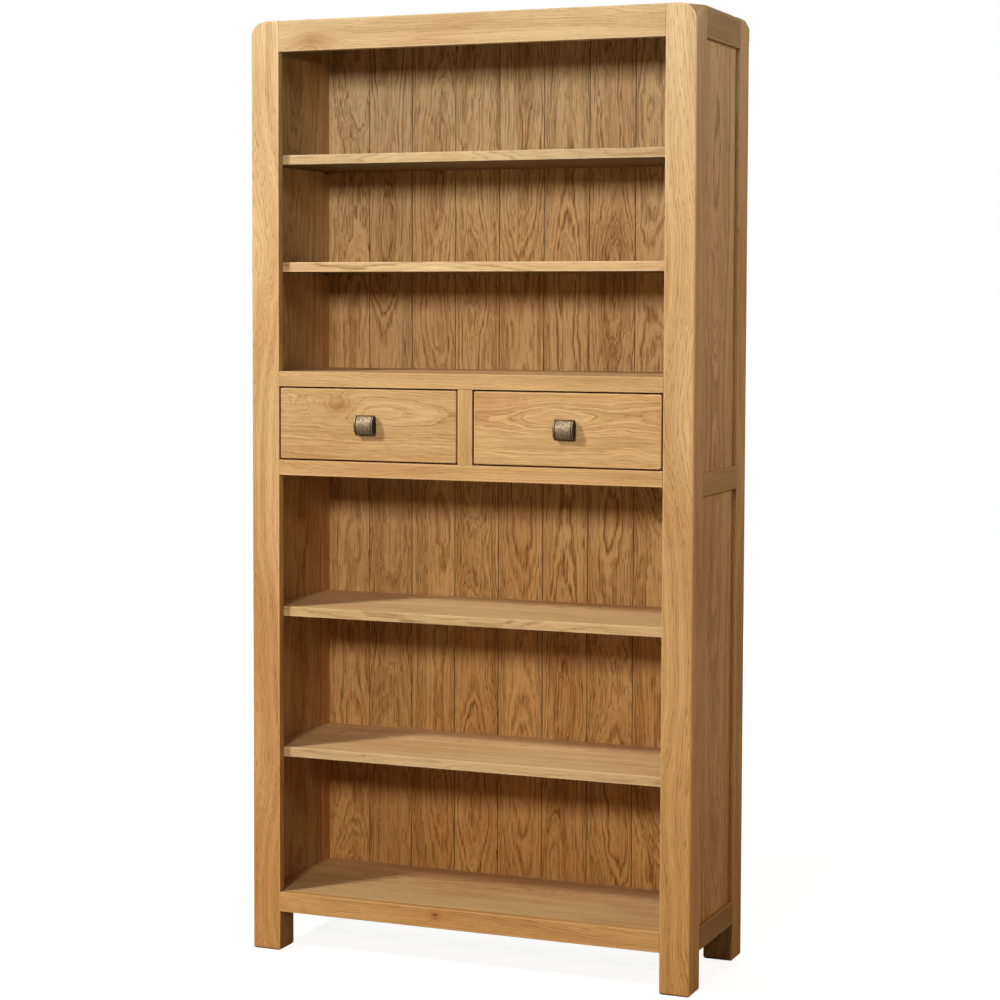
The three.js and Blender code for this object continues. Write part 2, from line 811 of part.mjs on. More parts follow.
const mortiseDepth = mullionTenonLength + jointGap;
const mullionMortises = {
  rail_front_upper: mullionMortise([upperRailBottom - overrun, upperRailBottom + mortiseDepth]),
  rail_front_lower: mullionMortise([lowerRailTop - mortiseDepth, lowerRailTop + overrun]),
};

Object.entries(frontRails).forEach(([name, span]) => {
  const top = span[1];
  const cutters = [boardGroove(top)];
  if (mullionMortises[name]) {
    cutters.push(mullionMortises[name]);
  }
  place(name, cutBy(rail(span, [0, faceThickness], frontTenon), cutters), frameOak);
});
place('mullion', mullion(), frameOak);

place('board_top', caseBoard(caseHeight, backRear).intersect(envelope), boardOak);
place('board_bay_top', caseBoard(upperRailTop, boardRear), boardOak);
place('board_bay_floor', caseBoard(lowerRailTop, boardRear), boardOak);
place('board_bottom', caseBoard(floorTop, boardRear), boardOak);
shelfLevels.forEach((level, i) => place(`shelf_${i + 1}`, shelf(level), boardOak));

for (let i = 0; i < backBoardCount; i += 1) {
  place(`back_board_${i + 1}`, backBoard(i), backOak);
}
Object.entries(rearRails).forEach(([name, span]) => {
  place(name, rail(span, [rearFlangeFront, caseDepth], rearTenon), frameOak);
});

place('guide_centre', guide(grown([-drawerInner, drawerInner], -guideClearance)), boxOak);
Object.entries(sides).forEach(([hand, side]) => {
  place(`guide_${hand}`, wallGuide(side), boxOak);
  place(`stop_${hand}`, drawerStop(side), boxOak);
  place(`drawer_${hand}_front`, drawerFront(side), drawerOak);
  place(`drawer_${hand}_side_outer`, drawerSide(side, true), boxOak);
  place(`drawer_${hand}_side_inner`, drawerSide(side, false), boxOak);
  place(`drawer_${hand}_back`, drawerBack(side), boxOak);
  place(`drawer_${hand}_bottom`, drawerBottom(side), boxOak);
  place(`drawer_${hand}_knob`, knob(side), agedPewter);
  place(`drawer_${hand}_screw`, knobScrew(side), screwSteel);
});

export default bookcase;
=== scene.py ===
"""Looks of the oak bookcase: wood, pewter and steel materials, studio floor, lamps and camera.

Lengths are metres in the frame of the CAD model. The origin is on the floor under the middle of the
case, +Z is up and the front with the drawers faces -Y.
"""

import json
import math
import random

import bmesh
import bpy
from mathutils import Matrix, Vector

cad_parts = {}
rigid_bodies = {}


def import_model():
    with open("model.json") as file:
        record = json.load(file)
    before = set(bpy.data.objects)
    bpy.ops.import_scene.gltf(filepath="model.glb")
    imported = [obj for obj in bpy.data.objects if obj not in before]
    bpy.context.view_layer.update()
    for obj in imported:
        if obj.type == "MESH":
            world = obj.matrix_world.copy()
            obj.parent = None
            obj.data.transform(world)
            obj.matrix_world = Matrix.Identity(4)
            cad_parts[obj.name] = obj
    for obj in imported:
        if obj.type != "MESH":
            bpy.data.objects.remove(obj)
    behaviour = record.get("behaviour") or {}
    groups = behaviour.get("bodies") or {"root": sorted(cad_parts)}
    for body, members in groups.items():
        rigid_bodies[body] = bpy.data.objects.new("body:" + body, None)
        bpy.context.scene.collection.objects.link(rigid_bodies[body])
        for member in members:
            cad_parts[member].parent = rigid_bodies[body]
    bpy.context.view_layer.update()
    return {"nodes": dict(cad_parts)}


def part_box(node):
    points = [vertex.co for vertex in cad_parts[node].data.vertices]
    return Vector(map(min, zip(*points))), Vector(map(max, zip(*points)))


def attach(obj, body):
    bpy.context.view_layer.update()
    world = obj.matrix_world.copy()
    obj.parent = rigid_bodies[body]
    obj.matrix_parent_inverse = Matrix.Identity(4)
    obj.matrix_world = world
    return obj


# The frame

# the cube, lamp and camera that Blender starts with go
for leftover in list(bpy.data.objects):
    bpy.data.objects.remove(leftover, do_unlink=True)

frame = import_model()
nodes = frame["nodes"]

# Camera

CAMERA_PLACE = Vector((1.87057, -4.5464, 1.33329))
CAMERA_YAW = math.radians(22.27)
CAMERA_PITCH = math.radians(-3.46)
CAMERA_ROLL = math.radians(0.19)
CAMERA_FOCAL_PIXELS = 2423.04
CAMERA_REACH = 100.0
IMAGE_PIXELS = 1000
SENSOR_WIDTH_MM = 36.0
HORIZON_SHIFT = -0.05

ahead = Vector((-math.sin(CAMERA_YAW) * math.cos(CAMERA_PITCH),
                math.cos(CAMERA_YAW) * math.cos(CAMERA_PITCH),
                math.sin(CAMERA_PITCH)))
level_right = Vector((math.cos(CAMERA_YAW), math.sin(CAMERA_YAW), 0.0))
level_up = level_right.cross(ahead)
camera_right = level_right * math.cos(CAMERA_ROLL) + level_up * math.sin(CAMERA_ROLL)
camera_up = level_up * math.cos(CAMERA_ROLL) - level_right * math.sin(CAMERA_ROLL)

camera_data = bpy.data.cameras.new("camera")
camera_data.sensor_fit = "HORIZONTAL"
camera_data.sensor_width = SENSOR_WIDTH_MM
camera_data.lens = CAMERA_FOCAL_PIXELS / IMAGE_PIXELS * SENSOR_WIDTH_MM
camera_data.shift_y = HORIZON_SHIFT
camera_data.clip_end = CAMERA_REACH
camera = bpy.data.objects.new("camera", camera_data)
camera.matrix_world = Matrix.Translation(CAMERA_PLACE) @ Matrix(
    (camera_right, camera_up, -ahead)).transposed().to_4x4()
bpy.context.scene.collection.objects.link(camera)
bpy.context.scene.camera = camera

# Lamps, each with its place, the point it is aimed at, the width of its square, watts and colour

LAMPS = {
    "key_upper_left": ((-3.0, -3.5, 4.5), (0.0, -0.1, 2.6), 0.8, 280.0, (0.96, 1.0, 1.04)),
    "front": ((0.45, -4.72, 2.35), (0.0, 0.1, 2.8), 0.68, 125.0, (1.03, 1.0, 0.97)),
    "right_high": ((3.2, -3.0, 3.05), (0.0, 0.0, 1.3), 0.8, 18.0, (1.0, 1.0, 1.02)),
    "right_side": ((3.2, 0.9, 2.3), (0.47, 0.0, 1.4), 1.8, 45.0, (1.0, 0.875, 0.80)),
    "rear": ((-1.6, 4.6, 2.6), (0.0, 0.0, 1.0), 2.4, 150.0, (1.0, 1.0, 1.0)),
}

for name, (place, target, width, watts, colour) in LAMPS.items():
    lamp_data = bpy.data.lights.new(name, "AREA")
    lamp_data.shape = "SQUARE"
    lamp_data.size = width
    lamp_data.energy = watts
    lamp_data.color = colour
    lamp = bpy.data.objects.new(name, lamp_data)
    lamp.location = place
    lamp.rotation_euler = (Vector(target) - Vector(place)).to_track_quat("-Z", "Y").to_euler()
    bpy.context.scene.collection.objects.link(lamp)


# Node trees

class Nodes:
    """Adds nodes to one tree. A value given for an input is either a number or a socket to link."""

    def __init__(self, tree):
        self.tree = tree

    def give(self, socket, value):
        if isinstance(value, bpy.types.NodeSocket):
            self.tree.links.new(value, socket)
        else:
            socket.default_value = value

    def add(self, kind, inputs=(), **settings):
        node = self.tree.nodes.new(kind)
        for key, value in settings.items():
            setattr(node, key, value)
        for key, value in dict(inputs).items():
            self.give(node.inputs[key], value)
        return node

    def math(self, operation, *values, clamp=False):
        node = self.add("ShaderNodeMath", enumerate(values), operation=operation, use_clamp=clamp)
        return node.outputs[0]

    def product(self, first, *others):
        for other in others:
            first = self.math("MULTIPLY", first, other)
        return first

    def total(self, first, *others):
        for other in others:
            first = self.math("ADD", first, other)
        return first

    def bell(self, value, steepness):
        """1 where the value is 0, and less the further it is from 0."""
        return self.math("EXPONENT", self.product(value, value, -steepness))

    def vector(self, operation, *values):
        node = self.add("ShaderNodeVectorMath", enumerate(values), operation=operation)
        return node.outputs["Value" if operation == "LENGTH" else "Vector"]

    def scaled(self, vector, factor):
        return self.add("ShaderNodeVectorMath", {0: vector, "Scale": factor}, operation="SCALE").outputs[0]

    def split(self, vector):
        return self.add("ShaderNodeSeparateXYZ", {0: vector}).outputs

    def join(self, x, y, z):
        return self.add("ShaderNodeCombineXYZ", {0: x, 1: y, 2: z}).outputs[0]

    def noise(self, vector, scale, detail, roughness=0.5):
        """Its first output is one number, and its second is three, which serve as a direction."""
        node = self.add("ShaderNodeTexNoise",
                        {"Vector": vector, "Scale": scale, "Detail": detail, "Roughness": roughness})
        return node.outputs

    def noise_line(self, value, scale, detail):
        """Noise along a single number."""
        node = self.add("ShaderNodeTexNoise", {"W": value, "Scale": scale, "Detail": detail},
                        noise_dimensions="1D")
        return node.outputs[0]

    def remap(self, value, from_low, from_high, to_low=0.0, to_high=1.0, smooth=True):
        node = self.add("ShaderNodeMapRange",
                        {"Value": value, "From Min": from_low, "From Max": from_high,
                         "To Min": to_low, "To Max": to_high},
                        interpolation_type="SMOOTHSTEP" if smooth else "LINEAR")
        return node.outputs[0]

    def mix(self, factor, first, second, blend="MIX"):
        """The mix node has sockets for each kind of data: 0 is the factor, 6 and 7 are the colours."""
        node = self.add("ShaderNodeMix", data_type="RGBA", blend_type=blend, clamp_factor=True)
        for index, value in ((0, factor), (6, first), (7, second)):
            self.give(node.inputs[index], value)
        return node.outputs[2]

    def surface(self, shader):
        self.add("ShaderNodeOutputMaterial", {"Surface": shader.outputs[0]})


def linear(text):
    """A colour written as six hexadecimal digits of sRGB, as linear RGBA."""
    levels = [int(text[start:start + 2], 16) / 255 for start in (0, 2, 4)]
    return tuple(level / 12.92 if level <= 0.04045 else ((level + 0.055) / 1.055) ** 2.4
                 for level in levels) + (1.0,)


def new_material(name):
    material = bpy.data.materials.new(name)
    material.use_nodes = True
    material.node_tree.nodes.clear()
    return material, Nodes(material.node_tree)


def paint(name, material):
    nodes[name].data.materials[0] = material


# Oak as a solid texture

# Place, Half Size, Knot and Eye run along the grain, across it and through the thickness, and all but
# Half Size start from the board's middle
OAK_INPUTS = {
    "NodeSocketVector": ("Place", "Half Size", "Seed", "Knot", "Eye"),
    "NodeSocketFloat": ("Pith Across", "Pith Depth", "Taper", "Wander", "Slant", "Ring Width", "Contrast",
                        "Jagged", "Softness", "Tone", "Height", "End Grain", "Knot Radius",
                        "Knot Darkness", "Eye Radius"),
}
OAK_OUTPUTS = {"Color": "NodeSocketColor", "Roughness": "NodeSocketFloat", "Normal": "NodeSocketVector"}

OAK_LIGHT = linear("e4bf8a")
OAK_DARK = linear("936a38")
OAK_PORE = linear("6e4a22")
OAK_HEART = linear("c48a4a")
# arrises lighter, partly wear and partly a painted highlight
OAK_WORN_AND_HIGHLIGHT = linear("f0cd9a")
KNOT_COLOUR = linear("4a2c12")

# waves per metre along the grain and across it, detail and roughness of each noise in the wood
WOOD_NOISES = {
    "slow": (2.4, 4.0, 1.0, 0.5),
    "quick": (9.0, 26.0, 2.0, 0.5),
    "fine": (6.0, 280.0, 2.0, 0.5),
    "ripple": (32.0, 45.0, 0.0, 0.5),
    "broken": (14.0, 420.0, 2.0, 0.5),
    "streak": (2.2, 130.0, 3.0, 0.6),
    "dash": (24.0, 440.0, 2.0, 0.6),
    "fibre": (14.0, 1100.0, 2.0, 0.5),
    "pores": (70.0, 1500.0, 1.0, 0.5),
    "cloud": (2.6, 9.0, 2.0, 0.5),
    "thread": (12.0, 400.0, 1.0, 0.5),
}
NOISE_MEAN = 0.5
# how far the noises bend the rings along, across and through the board; inputs scale all but the quick one
SLOW_BEND = (0.0, 1.0, 1.6)
QUICK_BEND = (0.0, 0.008, 0.008)
FINE_BEND = (0.0, 1.0, 1.0)
RIPPLE_BEND = (0.0, 0.004, 0.004)
# the pith leans less across the board than through it
LEAN_ACROSS = 0.5

# waves per metre, and detail, of the noises along one line: the drift along the board, the others outward
DRIFT_WAVES = (1.5, 1.0)
RING_WAVES = (95.0, 1.0)
BAND_WAVES = (62.0, 3.0)
LINE_WAVES = (320.0, 2.0)
RING_UNEVENNESS = 0.9
YEAR_WEAKEST = 0.3

# for remap: the two ends of a rise or fall, and its first and last value where they aren't 0 and 1
EARLY_WOOD_BEGINS = (0.0, 0.08)
EARLY_WOOD_FADES = (0.0, 0.55, 1.0, 0.0)
BREAKS_IN_EARLY_WOOD = (0.34, 0.64, 0.5, 1.2)
PORES = (0.54, 0.66)
PORES_BY_EARLY_WOOD = (0.05, 0.5, 0.25, 1.0)
BANDS = (0.32, 0.68)
STREAKS = (0.3, 0.7)
HEART_PATCHES = (0.35, 0.75, 0.0, 0.30)
KNOT_CORE = (0.35, 1.5, 1.0, 0.0)
WORN_AND_HIGHLIGHT_BY_DISTANCE = (0.0010, 0.0045, 1.0, 0.0)
WORN_AND_HIGHLIGHT_PATCHES = (0.3, 0.7, 0.35, 1.0)
END_GRAIN_DARKENS = (0.25, 0.95, 0.0, 0.55)

# mean of each part of the grain, its share in crisp wood and its share in soft wood
GRAIN_PARTS = {
    "early": (0.20, 0.70, 0.45),
    "band": (NOISE_MEAN, 0.30, 0.34),
    "streak": (NOISE_MEAN, 0.14, 0.20),
    "thread": (NOISE_MEAN, 0.3, 1.1),
    "lines": (NOISE_MEAN, 0.15, 1.2),
    "dash": (NOISE_MEAN, 0.75, 0.9),
    "fibre": (NOISE_MEAN, 0.3, 0.3),
}
GRAIN_MEAN = 0.36
PORE_SHARE = 0.42

# a knot is drawn out along the grain and still more through the board
KNOT_SHAPE = (0.6, 1.0, 0.35)
# the least radius that shows, and the least that is divided by
KNOT_SMALLEST = 0.0005
NOT_ZERO = 0.0001
# in radii: how far the rings are pushed aside at its middle, and how ragged its rim is
KNOT_PUSH = 2.2
KNOT_RAGGED = 2.2
# how steeply the push and the halo fall off
KNOT_PUSH_FALL = 0.09
KNOT_HALO_FALL = 0.12
KNOT_HALO_SHARE = 0.45

WORN_AND_HIGHLIGHT_SHARE = 0.35

# painted shade and light by height: the case is darker and more saturated toward the foot, paler toward
# the top
FOOT_PAINTED_SHADE = (0.96, 0.73, 0.46, 1.0)
MIDDLE_PAINTED_SHADE = (1.0, 0.93, 0.84, 1.0)
TOP_PAINTED_LIGHT = (1.08, 1.16, 1.26, 1.0)
# heights between which the painted shade goes over from foot to middle, and from middle to the painted
# light at the top
FOOT_TO_MIDDLE = (0.0, 1.15)
MIDDLE_TO_TOP = (1.3, 1.9)

WOOD_ROUGHNESS = 0.44
PORE_ROUGHNESS = 0.2
EARLY_ROUGHNESS = 0.08
PORE_RELIEF = -1.0
FIBRE_RELIEF = 0.5
WOOD_RELIEF = {"Strength": 0.22, "Distance": 0.0006}


def oak_group():
    """Grown oak: rings about a wandering pith, pores, fibres, a knot, an eye, arrises lighter from wear
    and a painted highlight, and painted shade and light by height.
    """
    tree = bpy.data.node_groups.new("oak", "ShaderNodeTree")
    for kind, names in OAK_INPUTS.items():
        for name in names:
            tree.interface.new_socket(name, in_out="INPUT", socket_type=kind)
    for name, kind in OAK_OUTPUTS.items():
        tree.interface.new_socket(name, in_out="OUTPUT", socket_type=kind)
    net = Nodes(tree)
    given = net.add("NodeGroupInput").outputs
    place = given["Place"]
    grown = net.vector("ADD", place, given["Seed"])

    def wood_noise(name, source=grown):
        along, across, detail, roughness = WOOD_NOISES[name]
        return net.noise(net.vector("MULTIPLY", source, (along, across, across)), 1.0, detail, roughness)

    def bend(name, reach):
        about_zero = net.vector("SUBTRACT", wood_noise(name)[1], (NOISE_MEAN, NOISE_MEAN, NOISE_MEAN))
        return net.vector("MULTIPLY", about_zero, reach)

    def swelling(centre, reach):
        """The distance from a centre as a ratio of its reach, and how far the rings are pushed aside."""
        offset = net.vector("MULTIPLY", net.vector("SUBTRACT", place, given[centre]), KNOT_SHAPE)
        divisor = net.math("MAXIMUM", given[reach], NOT_ZERO)
        ratio = net.math("DIVIDE", net.vector("LENGTH", offset), divisor)
        return ratio, net.product(net.bell(ratio, KNOT_PUSH_FALL), net.product(given[reach], KNOT_PUSH))

    # the way the trunk wandered while it grew
    slow = net.scaled(bend("slow", SLOW_BEND), given["Wander"])
    quick = bend("quick", QUICK_BEND)
    fine = net.scaled(bend("fine", FINE_BEND), given["Jagged"])
    ripple = net.scaled(bend("ripple", RIPPLE_BEND), given["Softness"])
    flow = net.vector("ADD", net.vector("ADD", slow, quick), ripple)
    bent = net.vector("ADD", net.vector("ADD", place, flow), fine)

    # the rings lie about the pith, and a knot and an eye, a swelling without a knot, push them aside
    knot_ratio, knot_swell = swelling("Knot", "Knot Radius")
    eye_swell = swelling("Eye", "Eye Radius")[1]
    along, across, depth = net.split(bent)
    drift = net.noise_line(net.split(grown)[0], *DRIFT_WAVES)
    across = net.total(across, net.product(net.math("SUBTRACT", drift, NOISE_MEAN), given["Slant"]))
    lean = net.product(along, given["Taper"])
    across = net.total(net.math("SUBTRACT", across, given["Pith Across"]), net.product(lean, LEAN_ACROSS))
    depth = net.total(net.math("SUBTRACT", depth, given["Pith Depth"]), lean)
    radius = net.math("SQRT", net.total(net.product(across, across), net.product(depth, depth)))
    radius = net.total(radius, net.total(knot_swell, eye_swell))

    # yearly rings: pores crowd at the start of each and thin out
    count = net.math("DIVIDE", radius, given["Ring Width"])
    count = net.total(count, net.product(net.noise_line(radius, *RING_WAVES), RING_UNEVENNESS))
    within = net.math("FRACT", count)
    year = net.math("FLOOR", count)
    strength = net.add("ShaderNodeTexWhiteNoise", {"W": year}, noise_dimensions="1D").outputs["Value"]
    strength = net.total(net.product(strength, 1.0 - YEAR_WEAKEST), YEAR_WEAKEST)
    early = net.product(net.remap(within, *EARLY_WOOD_FADES), net.remap(within, *EARLY_WOOD_BEGINS))
    early = net.product(early, strength, net.remap(wood_noise("broken")[0], *BREAKS_IN_EARLY_WOOD))
    dash = wood_noise("dash")[0]
    fibre = wood_noise("fibre")[0]
    pores = net.product(net.remap(wood_noise("pores")[0], *PORES), net.remap(early, *PORES_BY_EARLY_WOOD))
    cloud = wood_noise("cloud")[0]
    parts = {
        "early": early,
        "band": net.remap(net.noise_line(radius, *BAND_WAVES), *BANDS),
        "streak": net.remap(wood_noise("streak")[0], *STREAKS),
        "thread": wood_noise("thread", net.vector("ADD", grown, flow))[0],
        "lines": net.noise_line(radius, *LINE_WAVES),
        "dash": dash,
        "fibre": fibre,
    }
    grain = 0.0
    for name, (mean, crisp, soft) in GRAIN_PARTS.items():
        share = net.remap(given["Softness"], 0.0, 1.0, crisp, soft, smooth=False)
        grain = net.total(grain, net.product(net.math("SUBTRACT", parts[name], mean), share))
    grain = net.math("ADD", net.product(grain, given["Contrast"]), GRAIN_MEAN, clamp=True)
    colour = net.mix(grain, OAK_LIGHT, OAK_DARK)
    colour = net.mix(net.remap(cloud, *HEART_PATCHES), colour, OAK_HEART, "MULTIPLY")
    colour = net.mix(net.product(pores, PORE_SHARE), colour, OAK_PORE)

    # the knot itself, ragged, with a browner halo
    ragged = net.total(knot_ratio, net.product(net.math("SUBTRACT", dash, NOISE_MEAN), KNOT_RAGGED))
    present = net.math("GREATER_THAN", given["Knot Radius"], KNOT_SMALLEST)
    core = net.product(net.remap(ragged, *KNOT_CORE), present)
    halo = net.product(net.bell(ragged, KNOT_HALO_FALL), present)
    colour = net.mix(net.product(halo, KNOT_HALO_SHARE), colour, OAK_HEART, "MULTIPLY")
    colour = net.mix(net.product(core, given["Knot Darkness"]), colour, KNOT_COLOUR)

    # arrises lighter, partly from wear and partly a painted highlight: the distance to the nearest edge is
    # the middle one of the three to the sides
    inset = net.split(net.vector("SUBTRACT", given["Half Size"], net.vector("ABSOLUTE", place)))
    low = net.math("MINIMUM", inset[0], inset[1])
    high = net.math("MAXIMUM", inset[0], inset[1])
    to_edge = net.math("MAXIMUM", low, net.math("MINIMUM", high, inset[2]))
    worn_and_highlight = net.product(net.remap(to_edge, *WORN_AND_HIGHLIGHT_BY_DISTANCE), net.remap(cloud, *WORN_AND_HIGHLIGHT_PATCHES))
    colour = net.mix(net.product(worn_and_highlight, WORN_AND_HIGHLIGHT_SHARE), colour, OAK_WORN_AND_HIGHLIGHT)

    # painted shade toward the foot and painted light toward the top, by height
    painted_height_shade = net.mix(net.remap(given["Height"], *FOOT_TO_MIDDLE, smooth=False), FOOT_PAINTED_SHADE, MIDDLE_PAINTED_SHADE)
    painted_height_shade = net.mix(net.remap(given["Height"], *MIDDLE_TO_TOP), painted_height_shade, TOP_PAINTED_LIGHT)
    colour = net.mix(1.0, colour, painted_height_shade, "MULTIPLY")
    tone = net.join(given["Tone"], given["Tone"], given["Tone"])
    colour = net.mix(1.0, colour, tone, "MULTIPLY")
    colour = net.mix(net.remap(given["End Grain"], *END_GRAIN_DARKENS), colour, OAK_HEART, "MULTIPLY")

    roughness = net.total(WOOD_ROUGHNESS, net.product(pores, PORE_ROUGHNESS))
    roughness = net.total(roughness, net.product(early, EARLY_ROUGHNESS))
    relief = net.total(net.product(pores, PORE_RELIEF), net.product(fibre, FIBRE_RELIEF))
    bump = net.add("ShaderNodeBump", {**WOOD_RELIEF, "Height": relief})
    net.add("NodeGroupOutput", {"Color": colour, "Roughness": roughness, "Normal": bump.outputs[0]})
    return tree


# Oak on the nodes

OAK = oak_group()
ALL_TONE = 0.87
WOOD_SPECULAR = 0.05
# limits of what each board draws at random: its seed, what is added to its pith's place across, and what
# multiplies its pith's depth, its ring width and its tone
SEED_SPREAD = (-40.0, 40.0)
ACROSS_SPREAD = (-0.012, 0.012)
DEPTH_SPREAD = (0.85, 1.15)
RING_SPREAD = (0.9, 1.1)
TONE_SPREAD = (0.96, 1.04)
# between these cosines the tone goes over to that of faces that look down, a painted shade under the
# boards, and to that of the faces that look to the front or the rear, a painted shade that leaves the tops
# lighter
DOWNWARD = (-0.9, -0.5)
FRONTWARD = (0.5, 0.9)

# grooves between the back boards, with a dark line painted along each joint
BACK_BOARD_PITCH = 0.1
BACK_SEAM_X = 0.042
SEAM_FADES = (0.00055, 0.0011, 0.75, 0.0)
SEAM_COLOUR = linear("3c2511")

# shelf pins are one solid with the posts, in the space between these planes
PIN_INNER_X = 0.4543
PIN_FRONT_Y = -0.143
PIN_REAR_Y = 0.1681
PIN_LOWEST_Z = 0.11
PIN_HIGHEST_Z = 1.84
# multiplies the wood's roughness on the pins
PIN_ROUGHNESS = 0.7
STEEL_COLOUR = linear("b9b6ae")

# node: centre, radius and darkness of its knot
KNOTS = {
    "drawer_left_front": ((-0.2754, -0.1616, 1.1262), 0.006, 0.12),
    "rail_front_top": ((-0.3360, -0.1624, 1.8568), 0.009, 0.08),
    "rail_front_bottom": ((-0.0621, -0.1623, 0.110), 0.0035, 0.6),
    "shelf_1": ((-0.0328, -0.1333, 1.6198), 0.0028, 0.6),
}
# node: centre and radius of its eye
EYES = {
    "post_front_left": ((-0.4450, -0.1620, 1.3380), 0.006),
    "drawer_left_front": ((-0.3586, -0.1616, 1.1248), 0.005),
    "drawer_right_front": ((0.3400, -0.1616, 1.0500), 0.005),
}


def seams(net, x, colour):
    """The colour darkened along the joints between the back boards."""
    shifted = net.math("SUBTRACT", x, BACK_SEAM_X - BACK_BOARD_PITCH / 2)
    past_joint = net.math("FLOORED_MODULO", shifted, BACK_BOARD_PITCH)
    beside = net.math("ABSOLUTE", net.math("SUBTRACT", past_joint, BACK_BOARD_PITCH / 2))
    return net.mix(net.remap(beside, *SEAM_FADES), colour, SEAM_COLOUR)


def pin_space(net, x_y_z):
    """1 where a post's solid is a shelf pin, and 0 in its wood."""
    x, y, z = x_y_z
    inside = net.math("LESS_THAN", net.math("ABSOLUTE", x), PIN_INNER_X)
    for comparison, value, limit in (("GREATER_THAN", y, PIN_FRONT_Y), ("LESS_THAN", y, PIN_REAR_Y),
                                     ("GREATER_THAN", z, PIN_LOWEST_Z), ("LESS_THAN", z, PIN_HIGHEST_Z)):
        inside = net.product(inside, net.math(comparison, value, limit))
    return inside


def oak(name, grain, face, *, across=0.0, depth=0.06, taper=0.02, wander=0.03, slant=0.0, ring=0.0036,
        contrast=1.0, jagged=0.004, softness=0.0, tone=1.0, edge_painted_shade=1.0, under_painted_shade=1.0, height=None,
        has_pins=False, has_seams=False):
    """Gives a node its own oak. grain and face name the axes along the grain and through the thickness.

    edge_painted_shade multiplies the colour of the faces that look to the front and the rear, a painted
    shade that leaves the shelf tops lighter like a painted sheen; under_painted_shade that of the faces
    that look down, a painted shade under the boards. height is the height whose painted shade and light by
    height the node has, if not its own.
    """
    low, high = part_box(name)
    middle = (low + high) / 2
    half = (high - low) / 2
    side = ({"X", "Y", "Z"} - {grain, face}).pop()
    order = ["XYZ".index(axis) for axis in (grain, side, face)]
    dice = random.Random(name)

    def ordered(values):
        """From x, y and z to along the grain, across it and through the thickness."""
        return [values[index] for index in order]

    material, net = new_material(name + "_oak")
    position = net.add("ShaderNodeTexCoord").outputs["Object"]
    x_y_z = net.split(position)
    local = net.split(net.vector("SUBTRACT", position, tuple(middle)))
    normal = net.add("ShaderNodeTexCoord").outputs["Normal"]
    facing = net.split(net.vector("ABSOLUTE", normal))
    group = net.add("ShaderNodeGroup", node_tree=OAK)
    looks = {
        "Place": net.join(*ordered(local)),
        "Half Size": ordered(half),
        "Seed": [dice.uniform(*SEED_SPREAD) for _ in order],
        "Pith Across": across + dice.uniform(*ACROSS_SPREAD),
        "Pith Depth": depth * dice.uniform(*DEPTH_SPREAD),
        "Taper": taper * dice.choice((-1, 1)),
        "Wander": wander,
        "Slant": slant,
        "Ring Width": ring * dice.uniform(*RING_SPREAD),
        "Contrast": contrast,
        "Jagged": jagged,
        "Softness": softness,
        "Height": x_y_z[2] if height is None else height,
        "End Grain": facing["XYZ".index(grain)],
    }
    tone = tone * ALL_TONE * dice.uniform(*TONE_SPREAD)
    # painted shade on the faces that look down, and on the front and rear faces so that the tops look
    # lighter
    shade = net.remap(net.split(normal)[2], *DOWNWARD, under_painted_shade, 1.0)
    looks["Tone"] = net.product(shade, net.remap(facing[1], *FRONTWARD, tone, tone * edge_painted_shade))
    if name in KNOTS:
        centre, looks["Knot Radius"], looks["Knot Darkness"] = KNOTS[name]
        looks["Knot"] = ordered(Vector(centre) - middle)
    if name in EYES:
        centre, looks["Eye Radius"] = EYES[name]
        looks["Eye"] = ordered(Vector(centre) - middle)
    for key, value in looks.items():
        net.give(group.inputs[key], value)

    colour, roughness = group.outputs["Color"], group.outputs["Roughness"]
    shader = net.add("ShaderNodeBsdfPrincipled",
                     {"Normal": group.outputs["Normal"], "Specular IOR Level": WOOD_SPECULAR})
    if has_seams:
        colour = seams(net, x_y_z[0], colour)
    if has_pins:
        inside = pin_space(net, x_y_z)
        colour = net.mix(inside, colour, STEEL_COLOUR)
        roughness = net.product(roughness, net.remap(inside, 0.0, 1.0, 1.0, PIN_ROUGHNESS))
        net.give(shader.inputs["Metallic"], inside)
    net.give(shader.inputs["Base Color"], colour)
    net.give(shader.inputs["Roughness"], roughness)
    net.surface(shader)
    paint(name, material)


SIDES = ("left", "right")
BACK_BOARDS = 9
# where across each post its pith lies, and the post's tone
POST_LOOKS = {"left": (-0.075, 1.16), "right": (0.075, 1.02)}
DRAWER_TONES = {"left": 1.0, "right": 1.12}
SIDE_RAIL_TONES = {"top": 0.76, "middle": 0.88, "bottom": 0.66}
# tone of each side panel, and the height whose painted shade and light it has, or None for its own
PANEL_LOOKS = {
    ("upper", "left"): (1.15, 1.8),
    ("lower", "left"): (1.0, 1.0),
    ("upper", "right"): (1.06, None),
    ("lower", "right"): (1.06, None),
}
# tone of each fixed board, and the height whose painted shade and light it has
BOARD_LOOKS = {
    "board_top": (1.04, 1.6),
    "board_bay_top": (1.22, 1.5),
    "board_bay_floor": (1.04, 1.6),
    "board_bottom": (1.18, 1.42),
}
# for each shelf from the top: its tone, that of its edges, lowered as painted shade so that the tops look
# lit with a painted sheen, and the height whose painted shade and light it has
SHELF_LOOKS = ((1.0, 0.90, 1.78), (1.20, 0.95, 1.74), (1.31, 0.81, 1.6), (1.42, 0.74, 1.6))

